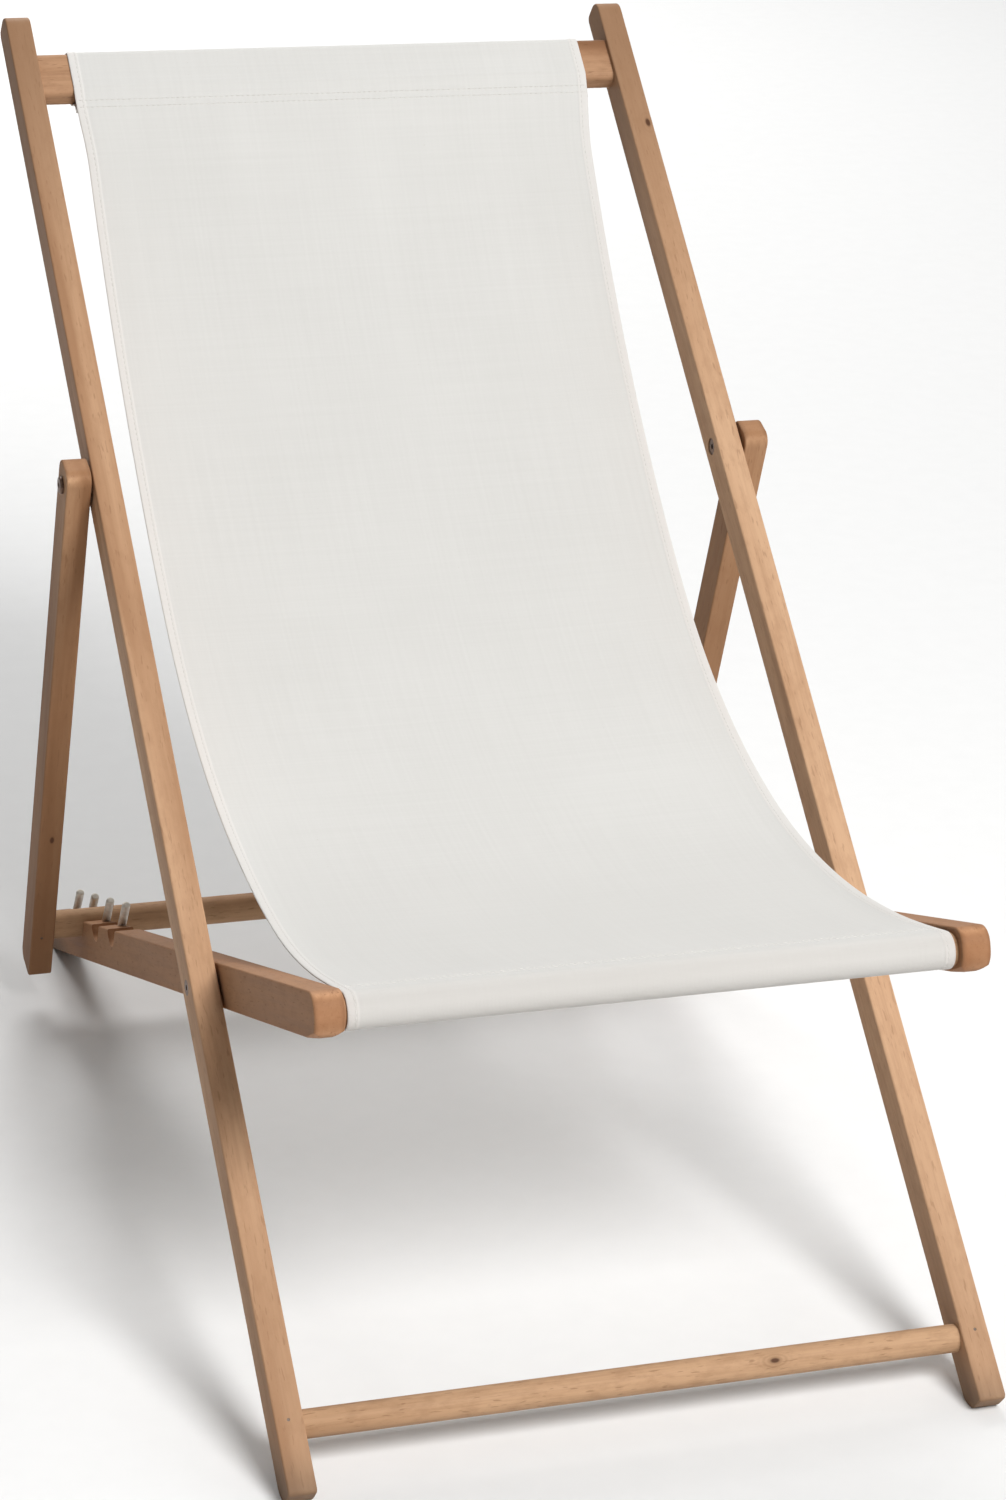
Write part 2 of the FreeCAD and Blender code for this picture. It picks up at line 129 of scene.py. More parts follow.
# %% A socket that can be added and multiplied
class Value:
    """A socket of a material's node tree that can be used in an expression."""

    def __init__(self, tree, socket):
        self.tree = tree
        self.socket = socket

    def node(self, kind, settings=None, ramp=None, out=0, **inputs):
        """Any node of the tree: its settings, then its inputs by name, or by number as in i0 and i1."""
        made = self.tree.nodes.new(kind)
        for name, value in (settings or {}).items():
            setattr(made, name, value)
        if ramp:
            elements = made.color_ramp.elements
            while len(elements) < len(ramp):
                elements.new(0.5)
            for element, (place, colour) in zip(elements, ramp):
                element.position = place
                element.color = (*colour, 1.0)
        for name, value in inputs.items():
            key = int(name[1:]) if name[1:].isdigit() else name.replace("_", " ")
            if isinstance(value, Value):
                self.tree.links.new(value.socket, made.inputs[key])
            else:
                made.inputs[key].default_value = value
        return Value(self.tree, made.outputs[out])

    def math(self, operation, a, b=0.0):
        return self.node("ShaderNodeMath", {"operation": operation}, i0=a, i1=b)

    def __add__(self, other):
        return self.math("ADD", self, other)

    def __radd__(self, other):
        return self.math("ADD", other, self)

    def __sub__(self, other):
        return self.math("SUBTRACT", self, other)

    def __rsub__(self, other):
        return self.math("SUBTRACT", other, self)

    def __mul__(self, other):
        return self.math("MULTIPLY", self, other)

    def __rmul__(self, other):
        return self.math("MULTIPLY", other, self)

    def __truediv__(self, other):
        return self.math("DIVIDE", self, other)

    def __pow__(self, other):
        return self.math("POWER", self, other)

    def sine(self):
        return self.math("SINE", self)

    def size(self):
        return self.math("ABSOLUTE", self)

    def least(self, other):
        return self.math("MINIMUM", self, other)

    def sway(self, reach):
        """A noise made to swing about zero, by half of the reach either way."""
        return (self - 0.5) * reach

    def step(self, low, high, start=0.0, end=1.0):
        """A smooth step: start below low, end above high."""
        return self.node("ShaderNodeMapRange", {"interpolation_type": "SMOOTHSTEP"},
                         Value=self, From_Min=low, From_Max=high, To_Min=start, To_Max=end)

    def axes(self):
        """The three numbers of a vector."""
        parts = self.node("ShaderNodeSeparateXYZ", Vector=self).socket.node
        return [Value(self.tree, output) for output in parts.outputs]

    def noise(self, scale, detail, rough, bend=0.0):
        """Noise from 0 to 1 over this vector, with about scale spots to the metre."""
        return self.node("ShaderNodeTexNoise", Vector=self, Scale=scale, Detail=detail,
                         Roughness=rough, Distortion=bend)

    def mapped(self, place=(0, 0, 0), turn=(0, 0, 0), stretch=(1, 1, 1)):
        return self.node("ShaderNodeMapping", Vector=self, Location=place, Rotation=turn, Scale=stretch)

    def mix(self, first, second):
        """Two colours mixed by this value."""
        colours = [c if isinstance(c, Value) else (*c, 1.0) for c in (first, second)]
        return self.node("ShaderNodeMix", {"data_type": "RGBA"}, out=2, i0=self, i6=colours[0], i7=colours[1])

    def bump(self, strength, depth):
        return self.node("ShaderNodeBump", Height=self, Strength=strength, Distance=depth)


print("a value can", [name for name in vars(Value) if not name.startswith("_")])


# %% A material to fill in
class Finish:
    """A material with its Principled shader, the coordinates of its patterns, and the surface's normal."""

    def __init__(self, name, coordinates, **constants):
        self.material = bpy.data.materials.new(name)
        self.material.use_nodes = True
        self.tree = self.material.node_tree
        self.shader = self.tree.nodes["Principled BSDF"]
        for key, value in constants.items():
            self.shader.inputs[key.replace("_", " ")].default_value = value
        source = self.tree.nodes.new("ShaderNodeTexCoord")
        self.place = Value(self.tree, source.outputs[coordinates])
        self.normal = Value(self.tree, source.outputs["Normal"])

    def feed(self, **values):
        """Link values to the shader's sockets, which completes the finish."""
        for key, value in values.items():
            self.tree.links.new(value.socket, self.shader.inputs[key.replace("_", " ")])
        print(self.material.name, "has", len(self.tree.nodes), "nodes")


def dress(endings, finish):
    """Give a finish to every solid whose name has one of these endings."""
    for name, node in frame["nodes"].items():
        if name.endswith(endings):
            node.data.materials.clear()
            node.data.materials.append(finish.material)


def shade(colour, tint, strength=1.0):
    """A colour under a tint, channel by channel."""
    return tuple(channel * part * strength for channel, part in zip(colour, tint))


print("finishes can be made")

# %% [markdown]
# ## Oiled wood
# The rails are planed hardwood with a close grain. Along each rail run long pale and warm bands, fine
# fibres, many short dark flecks and dull patches. End grain drinks more oil and is darker. A picture of a
# plank could be wrapped round each rail, but it would stretch at the ends and repeat, so the grain is
# made of noise in object space. For each frame the pattern is first turned until its own Y axis runs
# along that frame's rails, and then squeezed along the grain, which draws every spot of noise out into a
# streak.

# %% Tones of the wood, and how strongly its marks show
wood_pale = (0.840, 0.550, 0.346)
wood_warm = (0.690, 0.424, 0.253)
wood_deep = (0.450, 0.245, 0.132)
fleck_tone = (0.240, 0.118, 0.060)
knot_tone = (0.075, 0.032, 0.018)
# The tone of the painted shade at the feet.
foot_shade_tone = (0.115, 0.085, 0.060)
oil_sheen, oil_index = 0.09, 1.46
grain_squeeze, drift_squeeze, patch_squeeze, fleck_squeeze = 0.055, 0.3, 0.4, 0.14
streak_share, patch_share, fleck_share, end_share = 0.42, 0.24, 0.38, 0.72
print("wood tones", wood_pale, wood_deep)


# %% Grow the grain
class Timber(Finish):
    """Oiled wood whose grain runs along Y once its pattern has been turned."""

    def __init__(self, name, turn, offset, tint, figure):
        super().__init__(name, "Object", Specular_IOR_Level=oil_sheen, IOR=oil_index)
        self.offset, self.tint = offset, tint
        self.height = self.place.axes()[2]
        self.timber = self.place.mapped(turn=turn)
        self.x, self.along, self.z = self.timber.axes()
        grain = self.drawn_out(grain_squeeze)
        self.drift = self.drawn_out(drift_squeeze).noise(scale=6.0, detail=2.0, rough=0.5)
        self.band = grain.noise(scale=30.0, detail=3.0, rough=0.55, bend=0.5)
        self.fibre = grain.mapped(stretch=(1, 0.6, 1)).noise(scale=240.0, detail=3.0, rough=0.6)
        self.hair = grain.mapped(stretch=(1, 0.8, 1)).noise(scale=700.0, detail=2.0, rough=0.6)
        self.relief = self.fibre * 0.6 + self.hair * 0.4
        self.colour = self.figured(figure)
        self.add_marks(self.normal.mapped(turn=turn).axes()[1].size())

    def drawn_out(self, squeeze):
        """The turned pattern, squeezed along the grain and read somewhere of its own."""
        return self.timber.mapped(place=self.offset, stretch=(1, squeeze, 1))

    def figured(self, figure):
        """Bands and drifts of deep, warm and pale wood. A larger figure sets them further apart."""
        tone = (self.band.sway(0.80) + self.drift.sway(0.90)) * figure + 0.52
        stops = ((0.30, wood_deep), (0.45, wood_warm), (0.68, wood_pale))
        return tone.node("ShaderNodeValToRGB", Fac=tone,
                         ramp=[(place, shade(colour, self.tint)) for place, colour in stops])

    def lay(self, share, tone, strength=1.0):
        """Lay a tone, under this timber's tint, over its colour by a share from 0 to 1."""
        self.colour = share.mix(self.colour, shade(tone, self.tint, strength))

    def add_marks(self, end_facing):
        """Fibres, dull patches, short flecks, and end grain where the surface faces along the grain."""
        streak = self.fibre.sway(1.2) + self.hair.sway(0.7)
        self.lay(streak.step(-0.55, 0.25, streak_share, 0.0), wood_deep, strength=0.85)
        patch = self.drawn_out(patch_squeeze).noise(scale=130.0, detail=4.0, rough=0.65)
        self.lay(patch.step(0.44, 0.68, 0.0, patch_share), wood_deep, strength=0.85)
        fleck = self.drawn_out(fleck_squeeze).noise(scale=620.0, detail=1.0, rough=0.4).step(0.65, 0.73)
        self.lay(fleck * fleck_share, fleck_tone)
        self.lay(end_facing.step(0.55, 0.95, 0.0, end_share), wood_deep, strength=0.88)


print("grain ready, squeezed to", grain_squeeze)

# %% [markdown]
# The long edges are a little deeper than the faces, from dirt and from painted shade of their rounding.
# Painted shade also darkens the rails towards their tops and their lower ends, and most of all at the feet
# that stand on the ground. Knots are dark, with rings of grain that swirl round them. Each of these is one
# more layer over the colour, so each is a method of its own, and a frame calls the ones that it needs.

# %% How strongly dirt, painted shade and knots show
edge_share, top_shade_share, foot_shade_share = 0.48, 0.80, 0.60
edge_start, edge_end, edge_sway = 0.0002, 0.0042, 0.004
top_shade_length, top_shade_sway = 0.40, 0.10
low_shade_sway = 0.08
foot_shade_start, foot_shade_end, foot_shade_sway = 0.004, 0.040, 0.020
knot_core_share, knot_halo_share, knot_swirl, knot_rings = 0.92, 0.42, 0.5, 8.0


def turned(point, axis, angle):
    """Where a place in the room lies once the pattern has been turned."""
    return Matrix.Rotation(angle, 3, axis) @ point


print("darkened edges are", edge_end, "wide, damp feet", foot_shade_end, "high")


# %% Wear and shade the wood
class WornAndShadedTimber(Timber):
    """Timber with dirt, knots and painted shade. Each method but the last lays one more mark over its colour.
    """

    def darken_edges(self, node, pivot, slope, depth):
        """The long edges of a pair of rails, whose section has the pivot in its middle, darker from dirt and
        from painted shade of their rounding.
        """
        low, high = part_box(node)
        rail_x, rail_z = (low.x + high.x) / 2, turned(pivot, "X", -slope).z
        from_side = (high.x - low.x) / 2 - (self.x.size() - rail_x).size()
        from_face = depth / 2 - (self.z - rail_z).size()
        inside = from_side.least(from_face) + self.band.sway(edge_sway)
        # Dirt and painted shade along the rounded long edges.
        self.lay(inside.step(edge_start, edge_end, edge_share, 0.0), wood_deep, strength=0.60)

    def handle(self, top):
        """The last stretch before the tops of the rails, darker with painted shade."""
        shaded_top = (self.along + self.drift.sway(top_shade_sway)).step(top - top_shade_length, top, 0.0, top_shade_share)
        self.lay(shaded_top, wood_deep, strength=0.55)

    def shade_low(self, low, high, share):
        """Painted shade that is full below one height in the room and gone above another."""
        shaded_low = (self.height + self.drift.sway(low_shade_sway)).step(low, high, share, 0.0)
        self.lay(shaded_low, wood_deep, strength=0.60)

    def shade_feet(self):
        """Painted shade on the wood that stands on the ground."""
        shaded = (self.height + self.band.sway(foot_shade_sway)).step(foot_shade_start, foot_shade_end, foot_shade_share, 0.0)
        self.colour = shaded.mix(self.colour, foot_shade_tone)

    def knot(self, centre, radius):
        """A knot, twice as long as wide, with its centre given in turned space."""
        far = ((self.x - centre.x) ** 2.0 + (self.z - centre.z) ** 2.0
               + ((self.along - centre.y) * 0.5) ** 2.0) ** 0.5 / radius
        swirl = far + self.band.sway(knot_swirl)
        core = swirl.step(0.45, 1.0, knot_core_share, 0.0)
        halo = swirl.step(0.8, 3.4, knot_halo_share, 0.0)
        rings = ((swirl * knot_rings).sine() * 0.5 + 0.5) * halo
        self.lay(rings * 0.6 + halo * 0.3, wood_deep, strength=0.62)
        self.colour = core.mix(self.colour, knot_tone)
        self.relief = self.relief - core * 0.4

    def oil(self):
        """Link the colour, an uneven satin gloss and the relief of the fibres to the shader."""
        gloss = (self.fibre * 0.5 + self.drift * 0.5).step(0.25, 0.75, 0.46, 0.64)
        self.feed(Base_Color=self.colour, Roughness=gloss,
                  Normal=self.relief.bump(strength=0.20, depth=0.0005))


print("wear ready")

# %% [markdown]
# Every frame has its own piece of timber: the same recipe, with its grain turned to its rails and the noise
# read somewhere else. The right back rail has one knot near its top, and the left prop a small one. The back
# rails are darker towards their tops, a painted shade.

# %% Dress the three frames
back_depth, seat_depth, prop_depth = 0.029, 0.033, 0.031
top_reach, top_knot_reach, top_knot_side = 0.8915, 0.7566, 0.006
right_x = middle("right_back_rail").x
rail_tops = turned(room(0, top_reach, 0), "X", -recline).y
top_knot = turned(room(right_x + top_knot_side, top_knot_reach, back_depth / 2), "X", -recline)
prop_knot = turned(Vector((-0.281, 0.2392, 0.1794)), "X", -prop_slope)

back_wood = WornAndShadedTimber("back_wood", turn=(-recline, 0, 0), offset=(0.31, 0.0, 0.12),
                       tint=(1, 1, 1), figure=1.2)
back_wood.darken_edges("right_back_rail", seat_pivot, recline, back_depth)
# Painted shade towards the tops of the back rails.
back_wood.handle(rail_tops)
# Painted shade towards the lower ends of the back rails.
back_wood.shade_low(low=0.0, high=0.34, share=0.32)
# Painted shade where the wood stands on the ground.
back_wood.shade_feet()
back_wood.knot(top_knot, radius=0.0030)
back_wood.oil()

# The seat rails' tint makes a darker, redder wood, and part of that darkness is painted shade.
seat_wood = WornAndShadedTimber("seat_wood", turn=(-seat_slope, 0, 0), offset=(1.7, 0.4, 0.55),
                       tint=(0.68, 0.58, 0.51), figure=1.6)
seat_wood.darken_edges("right_seat_rail", seat_pivot, seat_slope, seat_depth)
seat_wood.shade_feet()
seat_wood.oil()

# The prop struts' tint makes a darker, browner wood, and part of that darkness is painted shade.
prop_wood = WornAndShadedTimber("prop_wood", turn=(-prop_slope, 0, 0), offset=(2.6, 0.9, 1.2),
                       tint=(0.75, 0.69, 0.63), figure=1.5)
prop_wood.darken_edges("right_prop_strut", prop_pivot, prop_slope, prop_depth)
# Painted shade towards the lower ends of the prop struts.
prop_wood.shade_low(low=0.34, high=0.54, share=0.48)
prop_wood.shade_feet()
prop_wood.knot(prop_knot, radius=0.0022)
prop_wood.oil()
dress(("back_rail",), back_wood)
dress(("seat_rail",), seat_wood)
dress(("prop_strut",), prop_wood)

# %% [markdown]
# The dowels, the front bar and the top rail run across the chair, so their pattern is turned about Z
# until X becomes the grain. The foot dowel carries a small knot. The top rail is a redder piece of wood.

# %% Dress the cross bars
sideways = math.radians(90)
foot_knot = turned(middle("foot_dowel") + Vector((0.1034, -0.0083, 0.0066)), "Z", sideways)
bar_wood = WornAndShadedTimber("bar_wood", turn=(0, 0, sideways), offset=(0.9, 0.2, 0.7),
                      tint=(0.61, 0.58, 0.54), figure=1.2)
bar_wood.shade_feet()
bar_wood.knot(foot_knot, radius=0.0026)
bar_wood.oil()
top_wood = WornAndShadedTimber("top_wood", turn=(0, 0, sideways), offset=(0.4, 0.6, 0.3),
                      tint=(0.54, 0.48, 0.44), figure=1.6)
top_wood.oil()
dress(("dowel", "front_bar"), bar_wood)
dress(("top_rail",), top_wood)

# %% [markdown]
# ## Plated steel
# Bolts, sleeve nuts and washers are browned steel that has stood outdoors, with soft patches, fine
# scratches from the key, and a little rust. The brads are bare nails that have gone dark. The pegs behind
# the notches have a dull, pale zinc coat, which is much less of a mirror than bare metal. All of them are
# small, so one recipe of cloud, spots and scratches serves, with other tones and more or less wear.

# %% Make the steel
rust_tone = (0.13, 0.062, 0.030)


def steel(name, pale, dark, wear, mirror):
    """Metal between two tones. Wear is the strength of its rust, and mirror how metallic it is."""
    finish = Finish(name, "Object")
    place = finish.place
    cloud = place.noise(scale=160.0, detail=4.0, rough=0.6)
    spot = place.noise(scale=900.0, detail=2.0, rough=0.5)
    strokes = place.mapped(stretch=(1, 0.08, 1), turn=(0.5, 0.3, 0.9))
    scratch = strokes.noise(scale=1500.0, detail=1.0, rough=0.5)
    rust = (cloud * 0.5 + spot * 0.5).step(0.56, 0.68) * wear
    colour = rust.mix(cloud.step(0.35, 0.7).mix(dark, pale), rust_tone)
    finish.feed(Base_Color=colour, Roughness=cloud.step(0.3, 0.75, 0.36, 0.55) + rust * 0.3,
                Metallic=mirror - rust * (0.8 * mirror),
                Normal=(scratch * 0.5 + spot * 0.5).bump(strength=0.12, depth=0.0002))
    return finish


browned_steel = steel("browned_steel", pale=(0.22, 0.14, 0.10), dark=(0.11, 0.07, 0.05), wear=0.4, mirror=0.8)
nail_steel = steel("nail_steel", pale=(0.16, 0.12, 0.09), dark=(0.09, 0.06, 0.045), wear=0.9, mirror=0.5)
peg_zinc = steel("peg_zinc", pale=(0.70, 0.65, 0.57), dark=(0.54, 0.50, 0.44), wear=0.15, mirror=0.25)
dress(("bolt", "nut", "washer"), browned_steel)
dress(("brads",), nail_steel)
dress(("pegs",), peg_zinc)

# %% [markdown]
# ## The path of the canvas
# The canvas is one strip. It starts at a seam behind the back, goes up round the top rail, hangs down the
# back and under the sitter, goes round the front bar and ends at a second seam. It could be hung by a
# cloth simulation, but then its length would only be known afterwards. A small pen that only knows how to
# go straight and how to turn draws the path in the side drawing, a point every few millimetres, and keeps
# the direction and the length of the cloth as it goes.

# %% A pen for the side drawing
longest_step, widest_turn = 0.005, 0.16


class Pen:
    """Walks in the side drawing and keeps (up, out, direction, length so far) at each step."""

    def __init__(self, up, out, direction):
        self.up, self.out, self.direction = up, out, direction
        self.length = 0.0
        self.steps = [(up, out, direction, 0.0)]

    def go(self, distance, turn=0.0):
        """Go forward, turning evenly by turn (in radians, positive to the left) on the way."""
        count = max(2, math.ceil(distance / longest_step), math.ceil(abs(turn) / widest_turn))
        half_turn = turn / count / 2
        stride = distance / count * (math.sin(half_turn) / half_turn if turn else 1.0)
        for _ in range(count):
            self.direction += half_turn
            self.up += stride * math.cos(self.direction)
            self.out += stride * math.sin(self.direction)
            self.direction += half_turn
            self.length += distance / count
            self.steps.append((self.up, self.out, self.direction, self.length))


print("pen ready, a point every", longest_step, "m or less")

# %% [markdown]
# Each end of the cloth is a sleeve. Its raw end lies flat on the back of the hanging cloth, where it is
# sewn down, then leaves it and meets the bar as a tangent. Where it leaves and where it touches depend on
# each other, so a few rounds of drawing and correcting find the angle.

# %% Sizes that the cloth follows
cloth_gap = 0.0009
top_half_width, top_half_depth, top_round = 0.021, 0.010, 0.006
wrap = top_round + cloth_gap
corner_half, corner_out = top_half_width - top_round, top_half_depth - top_round
top_up = drawing(middle("top_rail"))[0]
bar_up, bar_out = drawing(middle("front_bar"))
front_bar_radius = 0.012
bar_radius = front_bar_radius + cloth_gap
leave = math.radians(18.3)
back_radius, back_turn = 1.365, math.radians(19.0)
rise = seat_angle - math.radians(3.3)
top_seam_depth, front_seam_depth = 0.008, 0.012
allowance, layer = 0.013, 0.0013
drawing_rounds = 60


def sewn_end(up, out, direction, round_up, round_out, radius, side):
    """A pen that lies on the cloth for the allowance, then runs to a bar that it passes on one side."""
    heading = direction
    for _ in range(drawing_rounds):
        end = Pen(up, out, direction)
        end.go(allowance, heading - direction)
        far = math.hypot(round_up - end.up, round_out - end.out)
        heading = math.atan2(round_out - end.out, round_up - end.up) - side * math.asin(radius / far)
    end.go(math.sqrt(far**2 - radius**2))
    return end


print("top rail at", round(top_up, 4), "front bar at", round(bar_up, 4), round(bar_out, 4))

# %% [markdown]
# The pen now draws the whole strip: up from the upper seam, round the four rounded corners of the top
# rail, down the long slack curve of the back, through the deeper bend of the seat, and up to the bar. The
# bend's radius is not chosen. It follows from the two straight runs that it has to join.

# %% Draw the path
quarter = math.pi / 2
bend_share = 0.97
start_up = top_up - corner_half - wrap * math.sin(leave)
start_out = corner_out + wrap * math.cos(leave)
flap = top_seam_depth + allowance
pen = sewn_end(start_up - flap * math.cos(leave) + layer * math.sin(leave),
               start_out - flap * math.sin(leave) - layer * math.cos(leave), leave,
               top_up - corner_half, -corner_out, wrap, 1)
pen.go(wrap * -pen.direction, -pen.direction)
for run, turn in ((2 * corner_half, quarter), (2 * corner_out, quarter), (2 * corner_half, leave)):
    pen.go(run)
    pen.go(wrap * turn, turn)
hang_start = pen.length
pen.go(back_radius * back_turn, -back_turn)
tilt = back_turn - leave
bend = rise - tilt
chord_up = pen.up - bar_up - bar_radius * math.sin(rise)
chord_out = bar_out + bar_radius * math.cos(rise) - pen.out
back_run = (chord_up * math.sin(rise) - chord_out * math.cos(rise)) / math.sin(bend)
front_run = (chord_out * math.cos(tilt) - chord_up * math.sin(tilt)) / math.sin(bend)
bend_run = bend_share * min(back_run, front_run)
bend_radius = bend_run / math.tan(bend / 2)
pen.go(back_run - bend_run)
pen.go(bend_radius * bend, -bend)
pen.go(front_run - bend_run)
hang_end = pen.length
print("hangs for", round(hang_end - hang_start, 4), "m, seat bend", round(bend_radius, 3))

# %% [markdown]
# The front sleeve is drawn from its raw end towards the bar, because that is where its position is
# known, and is then added to the strip the other way round.

# %% Close the front sleeve
flap = front_seam_depth + allowance
inner = sewn_end(pen.up - flap * math.cos(pen.direction) - layer * math.sin(pen.direction),
                 pen.out - flap * math.sin(pen.direction) + layer * math.cos(pen.direction),
                 pen.direction, bar_up, bar_out, bar_radius, -1)
round_bar = (inner.direction + math.pi - pen.direction) % (2 * math.pi)
pen.go(bar_radius * round_bar, round_bar)
path = pen.steps + [(up, out, direction + math.pi, pen.length + inner.length - length)
                    for up, out, direction, length in reversed(inner.steps[:-1])]
cloth_length = path[-1][3]
print("canvas path", round(cloth_length, 4), "m in", len(path), "points")

# %% [markdown]
# ## The canvas
# The cloth is a closed shell: an outer and an inner face about a millimetre apart, thicker along the
# sides where the hem is folded over, with a rounded fold at the very edge. Pulled cloth is never a
# perfect extrusion. It is a little wider on the bars than between them. Its middle sags a few millimetres
# behind its taut hems, and shallow ripples run out of the sleeves. The sag and the ripples fade to nothing
# at the bars, so that the cloth still lies on them.

# %% How the cloth hangs
half_width = 0.2185
sag_depth, sag_along, sag_across = 0.0045, 1.3, 2.2
hem_lift = 0.0020
top_flare, bar_flare, waist = 0.0046, 0.0038, 0.0010
top_flare_run = 0.07
pull_lines = ((61.0, 1.3, 1.0), (117.0, 0.4, 0.6), (33.0, -2.0, 0.4))


def smooth(value, low, high):
    """A smooth step from 0 below low to 1 above high."""
    share = min(1.0, max(0.0, (value - low) / (high - low)))
    return share * share * (3 - 2 * share)


def pull(distance, height, run, clear, full):
    """How strongly the pull lines of one sleeve show at a distance from its bar."""
    return height * math.exp(-distance / run) * smooth(distance, clear, full)


def ripple(x, length):
    """Shallow pull lines that run along the cloth and die away from the bars."""
    wave = sum(height * math.sin(x * pitch + phase) for pitch, phase, height in pull_lines)
    near_top = pull(length - hang_start, height=0.00055, run=0.17, clear=0.005, full=0.05)
    near_bar = pull(hang_end - length, height=0.00045, run=0.12, clear=0.02, full=0.07)
    return wave * (near_top + near_bar)


def taut_hem(share, free):
    """How far the hems stand in front of the cloth where the seat rises to the bar."""
    return hem_lift * smooth(share, 0.90, 1.0) * smooth(free, 0.55, 0.8) * smooth(1 - free, 0.02, 0.12)


def cloth_point(x, step):
    """Place and outward direction of the cloth at one column and one step of the path."""
    up, out, direction, length = step
    normal_up, normal_out = math.sin(direction), -math.cos(direction)
    free = (length - hang_start) / (hang_end - hang_start)
    share = abs(x) / half_width
    sag = 0.0
    flare = top_flare * smooth(hang_start + top_flare_run - length, 0.0, top_flare_run)
    flare += bar_flare * smooth(free, 0.70, 0.92)
    if 0 < free < 1:
        belly = math.sin(math.pi * free)
        sag = sag_depth * belly**sag_along * (1 - share**sag_across)
        sag -= taut_hem(share, free)
        sag -= ripple(x, length)
        flare -= waist * belly
    wide = x * (1 + flare / half_width)
    place = room(wide, up - normal_up * sag, out - normal_out * sag)
    return place, room(0, normal_up, normal_out) - room(0, 0, 0)


print("cloth", 2 * half_width, "wide, sags by", sag_depth)

# %% [markdown]
# The hem is the side of the cloth folded over and sewn down. A second layer under it would show its raw
# edge as a step, so the shell is simply made thicker there, with a dent along the row of stitches.

# %% How thick the cloth is
hem_width = 0.0080
cloth_half, hem_extra = 0.00050, 0.00034
step_out, step_in = 0.0010, 0.0006
stitch_inset, dent_width, dent_depth = 0.0023, 0.0006, 0.00014
fold_radius, least_fold = 0.0009, 0.12


def thickness(x):
    """Half of the cloth's thickness: thicker in the hem, dented by its stitches, rounded at the fold."""
    edge = half_width - abs(x)
    folded = 1 - smooth(edge, hem_width - step_out, hem_width + step_in)
    dent = math.exp(-((edge - hem_width + stitch_inset) / dent_width) ** 2)
    fold = math.sqrt(max(least_fold, 1 - max(0.0, 1 - edge / fold_radius) ** 2))
    return (cloth_half + hem_extra * folded - dent_depth * dent) * fold


print("hem", hem_width, "thick", round(2 * thickness(half_width - 0.005), 5), "field", 2 * cloth_half)

# %% [markdown]
# The grid has many columns in the hems, where the thickness changes, and even ones between them. Its two
# faces are joined along both sides and at both ends, which closes the shell.

# %% Weave the grid
columns = [0.0, 0.0002, 0.0005, 0.0009, 0.0020, 0.0036, 0.0045, 0.0051, 0.0057, 0.0063, 0.0069]
columns += [0.0074, 0.0080, 0.0086, 0.0093, 0.0110, 0.0145, 0.018, 0.024]
field_count = 30
field_step = (half_width - columns[-1]) / field_count
columns += [columns[-1] + field_step * (i + 1) for i in range(field_count)]
across = [c - half_width for c in columns] + [half_width - c for c in reversed(columns[:-1])]
width_count, rows = len(across), len(path)
outer, inner_face = [], []
for step in path:
    for x in across:
        place, normal = cloth_point(x, step)
        outer.append(place + normal * thickness(x))
        inner_face.append(place - normal * thickness(x))
first = len(outer)
faces = []
for r in range(rows - 1):
    for c in range(width_count - 1):
        a = r * width_count + c
        b, d, e = a + 1, a + width_count, a + width_count + 1
        faces.append((a, b, e, d))
        faces.append((first + a, first + d, first + e, first + b))
    a, d = r * width_count, (r + 1) * width_count
    faces.append((a, d, first + d, first + a))
    a, d = a + width_count - 1, d + width_count - 1
    faces.append((first + a, first + d, d, a))
for c in range(width_count - 1):
    faces.append((c, first + c, first + c + 1, c + 1))
    a = (rows - 1) * width_count + c
    faces.append((a + 1, first + a + 1, first + a, a))
cloth_mesh = bpy.data.meshes.new("sling_canvas")
cloth_mesh.from_pydata([tuple(v) for v in outer + inner_face], [], faces)
canvas = put("sling_canvas", cloth_mesh)
print("canvas", len(faces), "faces", round(sum(p.area for p in cloth_mesh.polygons) / 2, 4), "m2 a side")

# %% [markdown]
# ## A map for the weave
# Threads follow the cloth round its bends, so the weave can't be read in object space. Each corner of
# each face is given its flat place in metres, across and along the strip, as a UV map.

# %% Unroll the canvas
uv_layer = cloth_mesh.uv_layers.new(name="flat_cloth")
flat_place = [(x, step[3]) for step in path for x in across] * 2
for loop in cloth_mesh.loops:
    uv_layer.data[loop.index].uv = flat_place[loop.vertex_index]
cloth_mesh.shade_smooth()
print("map", len(uv_layer.data), "corners")

# %% [markdown]
# ## Cotton canvas
# Undyed cotton canvas is a plain weave of thick threads, over and under by turns. Close up it shows a raised
# checker of thread crowns, uneven threads called slubs, and small seed specks. From a step away only a faint
# streakiness is left. The threads are far too many to model, so two sine waves make the checker in the
# material, with painted shade in the gaps between the crowns. The hem looks whiter, because two layers let
# less light through. The seat is a little darker with painted shade, and the roll over the front bar is a
# little dirty.

# %% Weave the threads
canvas_dull, canvas_pale = (0.608, 0.600, 0.576), (0.655, 0.647, 0.624)
hem_tone, hem_share = (0.730, 0.698, 0.668), 0.50
seat_shade_tone, seat_shade_share = (0.44, 0.432, 0.415), 0.22
handled_tone, handled_share = (0.43, 0.385, 0.35), 0.30
weave_shade_tone, weave_shade_share = (0.50, 0.475, 0.43), 0.14
speck_tone, speck_share = (0.32, 0.24, 0.16), 0.16
thread, slub_draw = 0.00095, 0.012
canvas_finish = Finish("cotton_canvas", "UV", Specular_IOR_Level=0.2, Sheen_Weight=0.12, Sheen_Roughness=0.5)
flat = canvas_finish.place
u, v, _ = flat.axes()
warp = (u * (math.pi / thread)).sine()
weft = (v * (math.pi / thread)).sine()
over = (warp * weft).step(-0.25, 0.25)
crown = over * warp.size() + (1.0 - over) * weft.size()
